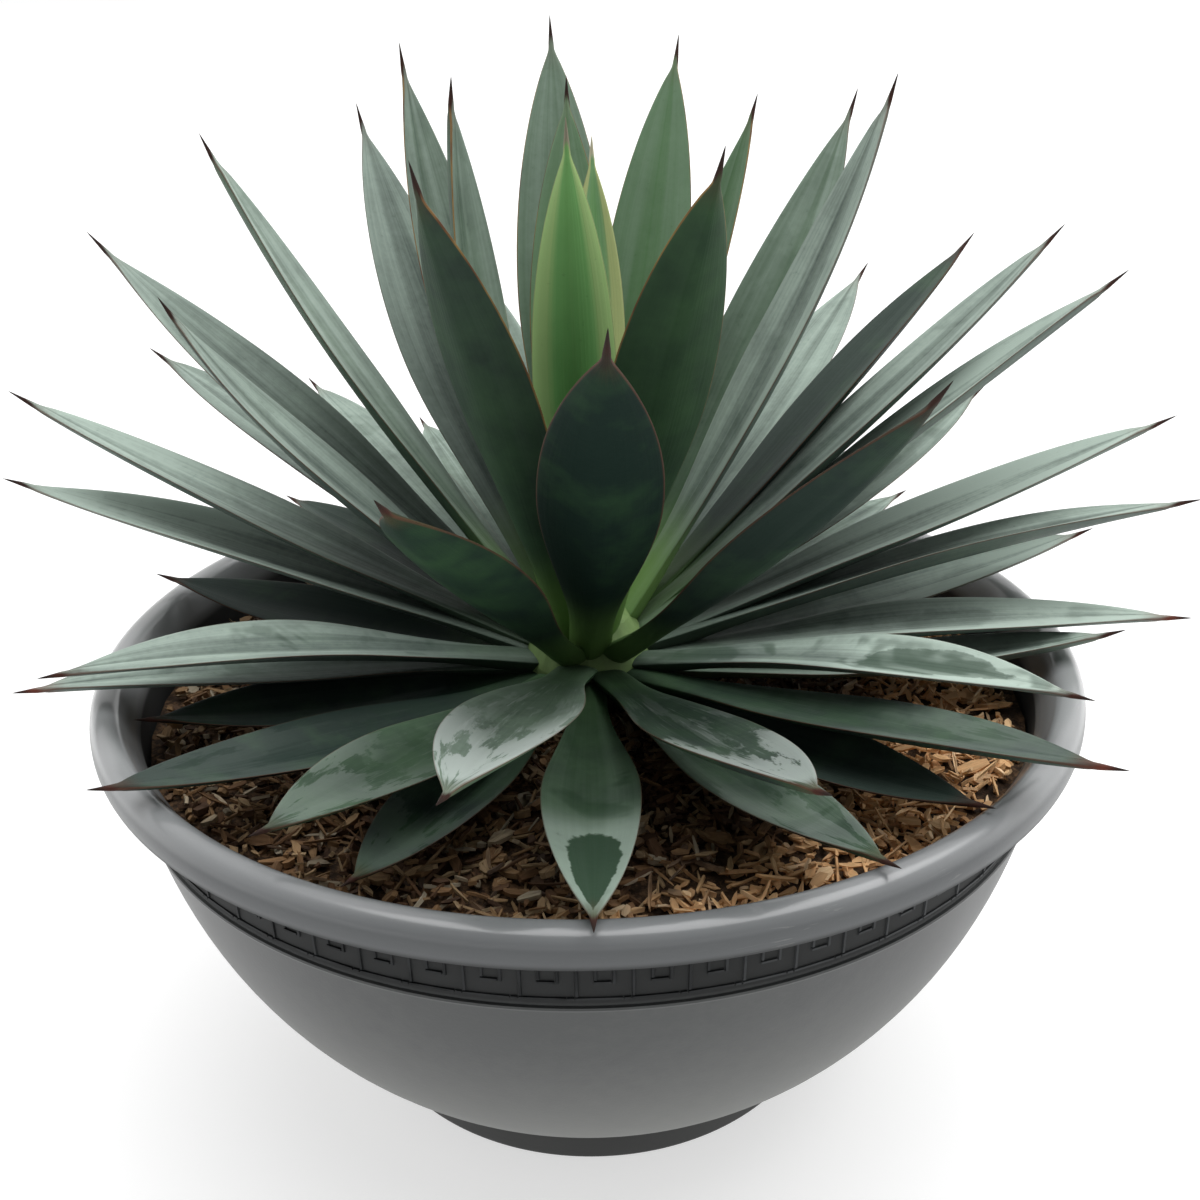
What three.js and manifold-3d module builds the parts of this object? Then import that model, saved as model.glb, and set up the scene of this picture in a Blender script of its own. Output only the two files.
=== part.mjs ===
// A blue-green agave: a rosette of stiff pointed leaves on a short stem, in a round plastic bowl.
// Millimetres, +Z up. The origin is on the ground, in the middle of the bowl's flat underside.

import * as THREE from 'three';
import { mergeVertices } from 'three/addons/utils/BufferGeometryUtils.js';
import Module from 'manifold-3d';

const wasm = await Module();
wasm.setup();

// Bowl
const RIM_RADIUS = 180;
const RIM_HEIGHT = 169;
const RIM_CREST_RADIUS = 174.5;
const RIM_UNDERSIDE = 157.3;
const RIM_ROUNDING = 4;
const MOUTH_RADIUS = 169.5;
const MOUTH_DROP = 1;
const BAND_TOP_RADIUS = 167.5;
const BAND_FOOT_RADIUS = 166.5;
const BAND_FOOT_HEIGHT = 135;
const RIDGE = 1;
const BELLY_RADIUS = 152.5;
const BELLY_HEIGHT = 58;
const FOOT_RADIUS = 94;
const FOOT_HEIGHT = 14;
const FOOT_BEVEL = 2;
const WALL = 3.5;
const FLOOR = 5;
const FLOOR_RISE = 2;
const BOWL_SIDES = 56;
const DRAIN_HOLES = 5;
const DRAIN_RADIUS = 6;
const DRAIN_CIRCLE = 52;
const DRAIN_SIDES = 12;
const CURVE_STEPS = 4;

// Soil
const SOIL_EDGE_HEIGHT = 144;
const SOIL_CROWN_HEIGHT = 147;
const SOIL_CROWN_RADIUS = 50;
const SOIL_SIDES = 36;
const SOIL_CURVE_STEPS = 3;

// Stem
const STEM_RADIUS = 25;
const STEM_FOOT = 112;
const STEM_TOP = 188;
const STEM_FOOT_SHARE = 0.8;
const STEM_FOOT_TAPER = 12;
const STEM_SHOULDER = 153;
const STEM_DOME = 10;
const STEM_SIDES = 24;
const STEM_CURVE_STEPS = 5;

// Leaf roots on the stem, from the lowest leaf to an upright one
const ROOT_RADIUS_UPRIGHT = 6;
const ROOT_RADIUS_SPREAD = 20;
const ROOT_HEIGHT_LOW = 155;
const ROOT_HEIGHT_SPREAD = 26;
const ROOT_DEPTH = 5;

// Leaf blade
const SPINE_SHARE = 0.055;
const BASE_WIDTH_SHARE = 0.42;
const SWELL_FROM = 0.08;
const WIDEST_AT = 0.55;
const TIP_ROUNDING = 0.86;
const CHANNEL = 0.3;
const THICK_BASE = 5;
const THICK_TIP = 2.6;
const MARGIN_THICKNESS = 1.2;
const SPINE_WIDTH = 1.8;
const STATIONS = [0, 0.13, 0.27, 0.4, 0.52, 0.64, 0.75, 0.85, 0.93];
const CURL_POWER = 1.5;
const MIDLINE_STEPS = 40;

// Pieces that touch keep this much air between them, and a cut leaves no corners nearer than the weld
const SEAT_GAP = 0.3;
const CUT_WELD = 0.02;

// Every leaf: azimuth about +Z, rise above the ground at the root, curl (rise gained by the tip),
// length, width, roll about its own length, and sway (azimuth gained by the tip). Degrees and mm.
const LEAVES = [
  { azimuth: 95, rise: 61, curl: 10, length: 225, width: 37 },
  { azimuth: 95, rise: 68, curl: 12, length: 192, width: 31, roll: -6, sway: -6 },
  { azimuth: -95, rise: 78, curl: 8, length: 180, width: 28, roll: 5 },
  { azimuth: 83, rise: 76, curl: 8, length: 167, width: 24, roll: 20 },
  { azimuth: 71, rise: 57, curl: 10, length: 225, width: 36, roll: -6 },
  { azimuth: -64, rise: 65, curl: 0, length: 195, width: 36, roll: -4, sway: -5 },
  { azimuth: 58, rise: 54, curl: 8, length: 209, width: 33, roll: -24, sway: -3 },
  { azimuth: 44, rise: 45, curl: 19, length: 227, width: 38, roll: -3, sway: 2 },
  { azimuth: 20, rise: 54, curl: 19, length: 214, width: 38, roll: -7 },
  { azimuth: 53, rise: 25, curl: 7, length: 225, width: 38, roll: -7 },
  { azimuth: 36, rise: 32, curl: 5, length: 223, width: 36, roll: -20, sway: 1 },
  { azimuth: 22, rise: 34, curl: 6, length: 227, width: 38, roll: -15, sway: 1 },
  { azimuth: 12, rise: 33, curl: 2, length: 223, width: 38, roll: -14 },
  { azimuth: -55, rise: 37, curl: 14, length: 200, width: 36, sway: -6 },
  { azimuth: 32, rise: 17, curl: 5, length: 202, width: 36, roll: 2, sway: 5 },
  { azimuth: 12, rise: 18, curl: 2, length: 224, width: 38, roll: -8, sway: -1 },
  { azimuth: 4, rise: 17, curl: -8, length: 213, width: 38, roll: -15, sway: -2 },
  { azimuth: 13, rise: 5, curl: 10, length: 190, width: 35, sway: 2 },
  { azimuth: -4, rise: 9, curl: -9, length: 198, width: 35, roll: -5 },
  { azimuth: -9, rise: 1, curl: 19, length: 171, width: 33, roll: -7 },
  { azimuth: -30, rise: 16, curl: -18, length: 161, width: 32, roll: -2 },
  { azimuth: -43, rise: 8, curl: 4, length: 182, width: 31, roll: -4, sway: 3 },
  { azimuth: -72, rise: 13, curl: 11, length: 175, width: 34, roll: -4 },
  { azimuth: -64, rise: 2, curl: 11, length: 155, width: 31, sway: 5 },
  { azimuth: -90, rise: 4, curl: 6, length: 160, width: 31 },
  { azimuth: -101, rise: 19, curl: -3, length: 178, width: 37 },
  { azimuth: -125, rise: 5, curl: 10, length: 152, width: 33, roll: -6, sway: 5 },
  { azimuth: -116, rise: -2, curl: 14, length: 138, width: 32 },
  { azimuth: -141, rise: 2, curl: 16, length: 168, width: 32, roll: -4 },
  { azimuth: -167, rise: 8, curl: -7, length: 179, width: 34, sway: 2 },
  { azimuth: -160, rise: 16, curl: -16, length: 170, width: 35, roll: 3, sway: 2 },
  { azimuth: 164, rise: 3, curl: 10, length: 158, width: 32, roll: -5 },
  { azimuth: 174, rise: 1, curl: 4, length: 139, width: 28 },
  { azimuth: 171, rise: 18, curl: -2, length: 208, width: 37, roll: 2, sway: 2 },
  { azimuth: 169, rise: 22, curl: 7, length: 217, width: 36, roll: 7 },
  { azimuth: 135, rise: 6, curl: 0, length: 172, width: 33, roll: 4 },
  { azimuth: -110, rise: 36, curl: 2, length: 200, width: 36, roll: -4, sway: 11 },
  { azimuth: 153, rise: 31, curl: 12, length: 236, width: 38, sway: 5 },
  { azimuth: 143, rise: 21, curl: 2, length: 225, width: 37, roll: 6, sway: 4 },
  { azimuth: 173, rise: 35, curl: 24, length: 180, width: 32, roll: 5 },
  { azimuth: 149, rise: 42, curl: 15, length: 229, width: 38, roll: 27, sway: -4 },
  { azimuth: 124, rise: 41, curl: 26, length: 228, width: 37 },
  { azimuth: 123, rise: 50, curl: 30, length: 227, width: 37, roll: 17 },
  { azimuth: 160, rise: 71, curl: 24, length: 191, width: 36, roll: 1 },
  { azimuth: -118, rise: 62, curl: 6, length: 194, width: 36, roll: -12, sway: 3 },
  { azimuth: -88, rise: 45, curl: 2, length: 214, width: 37, roll: -9 },
  { azimuth: -160, rise: 1, curl: 10, length: 140, width: 32, roll: -5 },
  { azimuth: -47, rise: 1, curl: 13, length: 150, width: 31, roll: 4 },
  { azimuth: 70, rise: 20, curl: 8, length: 205, width: 36 },
  { azimuth: 84, rise: 10, curl: 6, length: 185, width: 34 },
  { azimuth: 105, rise: 29, curl: 6, length: 206, width: 36 },
  { azimuth: 113, rise: 10, curl: 4, length: 185, width: 34 },
  { azimuth: 127, rise: 16, curl: 4, length: 200, width: 35 },
  { azimuth: 41, rise: 5, curl: 3, length: 172, width: 32 },
];

const bowlPlastic = new THREE.MeshStandardMaterial({ color: 0x4b4d50, roughness: 0.55, metalness: 0 });
const barkSoil = new THREE.MeshStandardMaterial({ color: 0x5a3d26, roughness: 0.95, metalness: 0 });
const stemTissue = new THREE.MeshStandardMaterial({ color: 0x55683f, roughness: 0.7, metalness: 0 });
const leafSkin = new THREE.MeshStandardMaterial({ color: 0x6f8a80, roughness: 0.6, metalness: 0 });

const radians = THREE.MathUtils.degToRad;

// A closed geometry as a solid that can be cut; corners nearer than the weld are made one
function solidOf(geometry, weld = 1e-4) {
  const bare = geometry.clone();
  bare.deleteAttribute('normal');
  bare.deleteAttribute('uv');
  const welded = mergeVertices(bare, weld);
  const corners = Array.from(welded.index.array);
  const triVerts = [];
  for (let i = 0; i < corners.length; i += 3) {
    const [a, b, c] = corners.slice(i, i + 3);
    if (a !== b && b !== c && c !== a) triVerts.push(a, b, c);
  }
  return new wasm.Manifold(new wasm.Mesh({
    numProp: 3,
    vertProperties: new Float32Array(welded.attributes.position.array),
    triVerts: new Uint32Array(triVerts),
  }));
}

function geometryOf(solid) {
  const mesh = solid.getMesh();
  const geometry = new THREE.BufferGeometry();
  geometry.setAttribute('position', new THREE.BufferAttribute(mesh.vertProperties, 3));
  geometry.setIndex(new THREE.BufferAttribute(mesh.triVerts, 1));
  geometry.computeVertexNormals();
  return geometry;
}

// The one piece of a cut solid that is worth keeping
function largestPiece(solid) {
  const pieces = solid.decompose();
  return pieces.reduce((best, piece) => (piece.volume() > best.volume() ? piece : best));
}

function namedMesh(name, geometry, material) {
  const mesh = new THREE.Mesh(geometry, material);
  mesh.name = name;
  return mesh;
}

// Bowl: one turned profile, from the middle of the underside round the rim to the middle of the floor
function bowlProfile() {
  const path = new THREE.Path();
  path.moveTo(0, 0);
  path.lineTo(FOOT_RADIUS - FOOT_BEVEL, 0);
  path.lineTo(FOOT_RADIUS, FOOT_BEVEL);
  path.lineTo(FOOT_RADIUS, FOOT_HEIGHT);
  path.quadraticCurveTo(BELLY_RADIUS, BELLY_HEIGHT, BAND_FOOT_RADIUS, BAND_FOOT_HEIGHT - 2 * RIDGE);
  path.lineTo(BAND_FOOT_RADIUS + RIDGE, BAND_FOOT_HEIGHT - RIDGE);
  path.lineTo(BAND_FOOT_RADIUS, BAND_FOOT_HEIGHT);
  path.lineTo(BAND_TOP_RADIUS, RIM_UNDERSIDE);
  path.lineTo(RIM_RADIUS - RIM_ROUNDING / 2, RIM_UNDERSIDE);
  path.quadraticCurveTo(RIM_RADIUS, RIM_UNDERSIDE, RIM_RADIUS, RIM_UNDERSIDE + RIM_ROUNDING);
  path.quadraticCurveTo(RIM_RADIUS, RIM_HEIGHT, RIM_CREST_RADIUS, RIM_HEIGHT);
  path.lineTo(MOUTH_RADIUS, RIM_HEIGHT - MOUTH_DROP);
  path.lineTo(BAND_TOP_RADIUS - WALL, RIM_UNDERSIDE);
  path.lineTo(BAND_FOOT_RADIUS - WALL, BAND_FOOT_HEIGHT);
  path.quadraticCurveTo(BELLY_RADIUS - WALL, BELLY_HEIGHT, FOOT_RADIUS - WALL / 2, FOOT_HEIGHT + FLOOR_RISE);
  path.lineTo(FOOT_RADIUS - 2 * WALL, FLOOR);
  path.lineTo(0, FLOOR);
  return path.getPoints(CURVE_STEPS);
}

function makeBowl() {
  let bowl = solidOf(new THREE.LatheGeometry(bowlProfile(), BOWL_SIDES).rotateX(Math.PI / 2));
  for (let hole = 0; hole < DRAIN_HOLES; hole++) {
    const turn = (hole * 2 * Math.PI) / DRAIN_HOLES;
    const drill = new THREE.CylinderGeometry(DRAIN_RADIUS, DRAIN_RADIUS, 4 * FLOOR, DRAIN_SIDES);
    drill.rotateX(Math.PI / 2);
    drill.translate(DRAIN_CIRCLE * Math.cos(turn), DRAIN_CIRCLE * Math.sin(turn), 0);
    bowl = bowl.subtract(solidOf(drill));
  }
  return bowl;
}

// Stem: a short turned stump with a domed top, buried to its shoulders; grow adds air all round
function stemGeometry(grow = 0) {
  const shoulder = STEM_RADIUS + grow;
  const path = new THREE.Path();
  path.moveTo(0, STEM_FOOT - grow);
  path.lineTo(shoulder * STEM_FOOT_SHARE, STEM_FOOT - grow);
  path.lineTo(shoulder, STEM_FOOT + STEM_FOOT_TAPER);
  path.lineTo(shoulder, STEM_SHOULDER);
  path.quadraticCurveTo(shoulder, STEM_TOP - STEM_DOME + grow, 0, STEM_TOP + grow);
  const turned = new THREE.LatheGeometry(path.getPoints(STEM_CURVE_STEPS), STEM_SIDES);
  return turned.rotateX(Math.PI / 2);
}

// Soil: fills the bowl up to a low mound, with a socket for the stem
function makeSoil() {
  const edge = BAND_FOOT_RADIUS - WALL - SEAT_GAP;
  const foot = FOOT_RADIUS - WALL;
  const path = new THREE.Path();
  path.moveTo(0, FLOOR + SEAT_GAP);
  path.lineTo(foot - WALL - 2 * SEAT_GAP, FLOOR + SEAT_GAP);
  path.lineTo(foot, FOOT_HEIGHT + FLOOR_RISE + 2 * SEAT_GAP);
  path.quadraticCurveTo(BELLY_RADIUS - 2 * WALL, BELLY_HEIGHT + WALL, edge - 2 * SEAT_GAP, BAND_FOOT_HEIGHT);
  path.lineTo(edge, SOIL_EDGE_HEIGHT);
  path.lineTo(SOIL_CROWN_RADIUS, SOIL_CROWN_HEIGHT);
  path.lineTo(0, SOIL_CROWN_HEIGHT);
  const turned = new THREE.LatheGeometry(path.getPoints(SOIL_CURVE_STEPS), SOIL_SIDES).rotateX(Math.PI / 2);
  return solidOf(turned).subtract(solidOf(stemGeometry(SEAT_GAP)));
}

// Share of the full width at a share of the blade's length: narrow root, widest past the middle, pointed tip
function widthShare(along) {
  const swell = THREE.MathUtils.smoothstep(along, SWELL_FROM, WIDEST_AT);
  const taper = Math.max(0, (along - WIDEST_AT) / (1 - WIDEST_AT));
  return (BASE_WIDTH_SHARE + (1 - BASE_WIDTH_SHARE) * swell) * Math.max(0, 1 - taper ** 2) ** TIP_ROUNDING;
}

// Where a leaf leaves the stem: low leaves at its shoulder, upright ones near its top
function rootOf(leaf) {
  const rise = radians(leaf.rise);
  return {
    out: ROOT_RADIUS_UPRIGHT + ROOT_RADIUS_SPREAD * Math.cos(rise),
    up: ROOT_HEIGHT_LOW + ROOT_HEIGHT_SPREAD * Math.sin(rise),
  };
}

// The blade's midline point, direction, side and face directions at a share of its length,
// in the leaf's own frame: +X outward from the stem, +Z up
function midline(leaf, share) {
  const point = new THREE.Vector3();
  const heading = (s) => {
    const rise = radians(leaf.rise + leaf.curl * Math.max(0, s) ** CURL_POWER);
    const turn = radians((leaf.sway ?? 0) * s);
    return new THREE.Vector3(Math.cos(rise) * Math.cos(turn), Math.cos(rise) * Math.sin(turn), Math.sin(rise));
  };
  for (let k = 0; k < MIDLINE_STEPS; k++) {
    const middle = (share * (k + 0.5)) / MIDLINE_STEPS;
    point.addScaledVector(heading(middle), (share * leaf.length) / MIDLINE_STEPS);
  }
  const ahead = heading(share);
  const turn = radians((leaf.sway ?? 0) * share);
  const side = new THREE.Vector3(-Math.sin(turn), Math.cos(turn), 0);
  side.applyAxisAngle(ahead, radians(leaf.roll ?? 0));
  const face = new THREE.Vector3().crossVectors(ahead, side);
  return { point, side, face };
}

// Six corners round the blade: two thin margins and a thicker middle, in a shallow channel
function section(leaf, share, grow) {
  const blade = Math.max(0, share) / (1 - SPINE_SHARE);
  const half = Math.max(SPINE_WIDTH, leaf.width * widthShare(blade)) / 2 + grow;
  const middle = THREE.MathUtils.lerp(THICK_BASE, THICK_TIP, Math.max(0, share)) / 2 + grow;
  const margin = MARGIN_THICKNESS / 2 + grow;
  const lift = CHANNEL * (half - grow);
  const { point, side, face } = midline(leaf, share);
  const corner = (across, above) => point.clone().addScaledVector(side, across).addScaledVector(face, above);
  return [
    corner(half, lift + margin),
    corner(0, middle),
    corner(-half, lift + margin),
    corner(-half, lift - margin),
    corner(0, -middle),
    corner(half, lift - margin),
  ];
}

// One leaf as a loft through its sections, closed flat at the root and to a point at the spine's end
function leafGeometry(leaf, grow = 0) {
  const shares = [-ROOT_DEPTH / leaf.length, ...STATIONS.slice(1)];
  const rings = shares.map((share) => section(leaf, share, grow));
  const tip = midline(leaf, 1).point;
  const points = [...rings.flat(), tip];
  const corners = rings[0].length;
  const index = [];
  for (let ring = 0; ring + 1 < rings.length; ring++) {
    for (let k = 0; k < corners; k++) {
      const a = ring * corners + k;
      const b = ring * corners + ((k + 1) % corners);
      index.push(a, b, b + corners, a, b + corners, a + corners);
    }
  }
  const last = (rings.length - 1) * corners;
  for (let k = 0; k < corners; k++) index.push(last + k, last + ((k + 1) % corners), points.length - 1);
  for (const [a, b, c] of [[0, 5, 1], [5, 4, 1], [4, 3, 1], [3, 2, 1]]) index.push(a, b, c);
  const geometry = new THREE.BufferGeometry().setFromPoints(points);
  geometry.setIndex(index);
  return geometry;
}

// Every leaf gives way to the stem and to the leaves placed before it
function placeLeaves(group) {
  const placed = [];
  LEAVES.forEach((leaf, number) => {
    const root = rootOf(leaf);
    const turn = radians(leaf.azimuth);
    const mesh = namedMesh(`leaf_${String(number + 1).padStart(2, '0')}`, leafGeometry(leaf), leafSkin.clone());
    mesh.rotation.z = turn;
    mesh.position.set(root.out * Math.cos(turn), root.out * Math.sin(turn), root.up);
    mesh.updateMatrix();
    const toLeaf = mesh.matrix.clone().invert();
    const box = new THREE.Box3().setFromBufferAttribute(mesh.geometry.attributes.position);
    box.applyMatrix4(mesh.matrix);
    let blade = solidOf(mesh.geometry).subtract(solidOf(stemGeometry(SEAT_GAP).applyMatrix4(toLeaf)));
    for (const earlier of placed) {
      if (!earlier.box.intersectsBox(box)) continue;
      const inLeaf = leafGeometry(earlier.leaf, SEAT_GAP).applyMatrix4(toLeaf.clone().multiply(earlier.matrix));
      blade = blade.subtract(solidOf(inLeaf));
    }
    mesh.geometry = geometryOf(solidOf(geometryOf(largestPiece(blade)), CUT_WELD));
    placed.push({ leaf, box, matrix: mesh.matrix.clone() });
    group.add(mesh);
  });
}

const plant = new THREE.Group();
const pot = namedMesh('pot', geometryOf(makeBowl()), bowlPlastic);
plant.add(pot);
plant.add(namedMesh('soil', geometryOf(makeSoil()), barkSoil));
plant.add(namedMesh('stem', stemGeometry(), stemTissue));
placeLeaves(plant);

export default plant;
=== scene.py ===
import math

import bpy
import numpy as np
from mathutils import Matrix, Vector


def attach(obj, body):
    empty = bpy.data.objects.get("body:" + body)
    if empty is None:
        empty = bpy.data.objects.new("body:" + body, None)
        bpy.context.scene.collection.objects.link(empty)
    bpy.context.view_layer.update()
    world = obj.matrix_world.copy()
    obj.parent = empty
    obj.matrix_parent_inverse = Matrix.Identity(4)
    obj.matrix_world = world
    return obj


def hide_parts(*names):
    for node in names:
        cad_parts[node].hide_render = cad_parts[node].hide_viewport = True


# A blue-green agave in a round plastic bowl. Lengths are in millimetres until a mesh is made.
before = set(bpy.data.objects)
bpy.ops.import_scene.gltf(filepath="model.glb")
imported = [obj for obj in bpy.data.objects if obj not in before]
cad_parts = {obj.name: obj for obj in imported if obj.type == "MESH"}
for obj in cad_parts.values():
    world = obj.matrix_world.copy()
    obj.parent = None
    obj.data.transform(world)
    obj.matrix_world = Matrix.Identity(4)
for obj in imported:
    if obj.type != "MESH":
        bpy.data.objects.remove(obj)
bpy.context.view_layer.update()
MM = 0.001

# Camera: place in mm, pitch below level, yaw towards +X and roll in degrees, and the lens in mm
EYE = (0, -470, 400)
PITCH, YAW, ROLL = 24.8, 0.6, -0.95
LENS, SENSOR = 41.55, 36

# Bowl
RIM_RADIUS, RIM_HEIGHT, RIM_CREST_RADIUS, RIM_UNDERSIDE, RIM_ROUNDING = 180, 169, 174.5, 157.3, 4
MOUTH_RADIUS, MOUTH_BEVEL, MOUTH_ROUNDING, UNDERCUT = 169.5, 2, 1.5, 0.3
BAND_TOP_RADIUS, BAND_FOOT_RADIUS, BAND_FOOT_HEIGHT, RIDGE = 167.5, 166.5, 135, 1
BELLY_RADIUS, BELLY_HEIGHT = 152.5, 58
FOOT_RADIUS, FOOT_HEIGHT, FOOT_BEVEL = 94, 14, 2
WALL, FLOOR, FLOOR_RISE = 3.5, 5, 2
DRAIN_HOLES, DRAIN_RADIUS, DRAIN_CIRCLE = 5, 6, 52
DRILL_FOOT, DRILL_TOP, DRILL_SIDES = -5, 10, 32
MIDDLE_RADIUS, BOWL_SIDES, SHARP_FROM_DEGREES = 20, 224, 38
BOWL_STEPS, LIP_STEPS, SHOULDER_STEPS, MOUTH_STEPS = 22, 6, 14, 5

# Key pattern on the bowl's band; uprights in shares of a unit's pitch, levels in shares of its height
KEY_UNITS, KEY_FOOT, KEY_TOP, KEY_LINE = 66, 137.2, 154.6, 1.25
KEY_RELIEF, KEY_SINK, KEY_SLOPE = 0.55, 0.4, 0.28
KEY_LEFT, KEY_INNER, KEY_RIGHT, KEY_LOW, KEY_MIDDLE = 0.14, 0.47, 0.8, 0.34, 0.68

# Mulch
SOIL_EDGE_HEIGHT, SOIL_CROWN_HEIGHT, SOIL_CROWN_RADIUS, SOIL_RADIUS = 144, 147, 50, 162.7

# Loose chips: the clearance and the grain's spacing in mm, the jitter in radians, the rest as shares
BARE_MIDDLE, WALL_CLEARANCE, HEAP_POWER = 0.028, 1, 1.5
CHIP_WIDEST, CHIP_BANK, CHIP_BOW, CHIP_JITTER = 0.8, 1.4, 0.12, 0.28
CHIP_SPREAD, CHIP_FOOT_LENGTH, CHIP_FOOT_WIDTH, GRAIN_SPACING = (0.72, 1.12), 0.96, 0.9, 400

# Heaps of loose mulch: name, count, seed, lengths, widths, thicknesses, steepness in degrees, height
HEAPS = [
    ("chips_coarse", 1000, 11, (6, 15), (2.5, 6), (1.0, 2.4), 16, 3.5),
    ("chips_fine", 4200, 12, (3, 9), (1, 3.2), (0.6, 1.6), 24, 4.5),
    ("slivers", 3200, 13, (6, 17), (0.7, 1.7), (0.5, 1.1), 18, 5.5),
]

# Leaf blade
ROOT_RADIUS_UPRIGHT, ROOT_RADIUS_SPREAD, ROOT_HEIGHT_LOW, ROOT_HEIGHT_SPREAD, ROOT_DEPTH = 6, 20, 155, 26, 5
SPINE_SHARE, BASE_WIDTH_SHARE, SWELL_FROM, WIDEST_AT, TIP_ROUNDING = 0.055, 0.42, 0.08, 0.55, 0.86
CHANNEL, CHANNEL_POWER, THICK_BASE, THICK_TIP, MARGIN_THICKNESS = 0.3, 1.6, 5, 2.6, 1.2
CURL_POWER, ROOT_SWELL, ROOT_SWELL_REACH, THICKEST_SHARE = 1.5, 3.5, 0.11, 0.8
RIPPLE, RIPPLE_FROM, RIPPLE_BY, RIPPLE_WAVES = 0.7, 0.1, 0.4, (9, 8)
ROUND_FROM, ROUND_BY = 0.915, 0.96
SPINE_AT, SPINE_RADII = [0.86, 0.95, 1], [1.5, 1.05, 0.08]

# Rows of points along a leaf, by the share of its length, then columns round it and its seed's start
BODY_END, BODY_ROWS = 0.8, 34
TAPER_START, TAPER_END, TAPER_ROWS = 0.812, 0.94, 18
SPINE_START, SPINE_END, SPINE_ROWS = 0.946, 0.992, 9
MIDLINE_STEPS, BLADE_COLUMNS, LEAF_SEED = 900, 40, 100

# Every leaf: azimuth, rise, curl, length, width, roll and sway, in degrees and mm
LEAVES = [
    (95, 61, 10, 225, 37, 0, 0),
    (95, 68, 12, 192, 31, -6, -6),
    (-95, 78, 8, 180, 28, 5, 0),
    (83, 76, 8, 167, 24, 20, 0),
    (71, 57, 10, 225, 36, -6, 0),
    (-64, 65, 0, 195, 36, -4, -5),
    (58, 54, 8, 209, 33, -24, -3),
    (44, 45, 19, 227, 38, -3, 2),
    (20, 54, 19, 214, 38, -7, 0),
    (53, 25, 7, 225, 38, -7, 0),
    (36, 32, 5, 223, 36, -20, 1),
    (22, 34, 6, 227, 38, -15, 1),
    (12, 33, 2, 223, 38, -14, 0),
    (-55, 37, 14, 200, 36, 0, -6),
    (32, 17, 5, 202, 36, 2, 5),
    (12, 18, 2, 224, 38, -8, -1),
    (4, 17, -8, 213, 38, -15, -2),
    (13, 5, 10, 190, 35, 0, 2),
    (-4, 9, -9, 198, 35, -5, 0),
    (-9, 1, 19, 171, 33, -7, 0),
    (-30, 16, -18, 161, 32, -2, 0),
    (-43, 8, 4, 182, 31, -4, 3),
    (-72, 13, 11, 175, 34, -4, 0),
    (-64, 2, 11, 155, 31, 0, 5),
    (-90, 4, 6, 160, 31, 0, 0),
    (-101, 19, -3, 178, 37, 0, 0),
    (-125, 5, 10, 152, 33, -6, 5),
    (-116, -2, 14, 138, 32, 0, 0),
    (-141, 2, 16, 168, 32, -4, 0),
    (-167, 8, -7, 179, 34, 0, 2),
    (-160, 16, -16, 170, 35, 3, 2),
    (164, 3, 10, 158, 32, -5, 0),
    (174, 1, 4, 139, 28, 0, 0),
    (171, 18, -2, 208, 37, 2, 2),
    (169, 22, 7, 217, 36, 7, 0),
    (135, 6, 0, 172, 33, 4, 0),
    (-110, 36, 2, 200, 36, -4, 11),
    (153, 31, 12, 236, 38, 0, 5),
    (143, 21, 2, 225, 37, 6, 4),
    (173, 35, 24, 180, 32, 5, 0),
    (149, 42, 15, 229, 38, 27, -4),
    (124, 41, 26, 228, 37, 0, 0),
    (123, 50, 30, 227, 37, 17, 0),
    (160, 71, 24, 191, 36, 1, 0),
    (-118, 62, 6, 194, 36, -12, 3),
    (-88, 45, 2, 214, 37, -9, 0),
    (-160, 1, 10, 140, 32, -5, 0),
    (-47, 1, 13, 150, 31, 4, 0),
    (70, 20, 8, 205, 36, 0, 0),
    (84, 10, 6, 185, 34, 0, 0),
    (105, 29, 6, 206, 36, 0, 0),
    (113, 10, 4, 185, 34, 0, 0),
    (127, 16, 4, 200, 35, 0, 0),
    (41, 5, 3, 172, 32, 0, 0),
]

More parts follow.
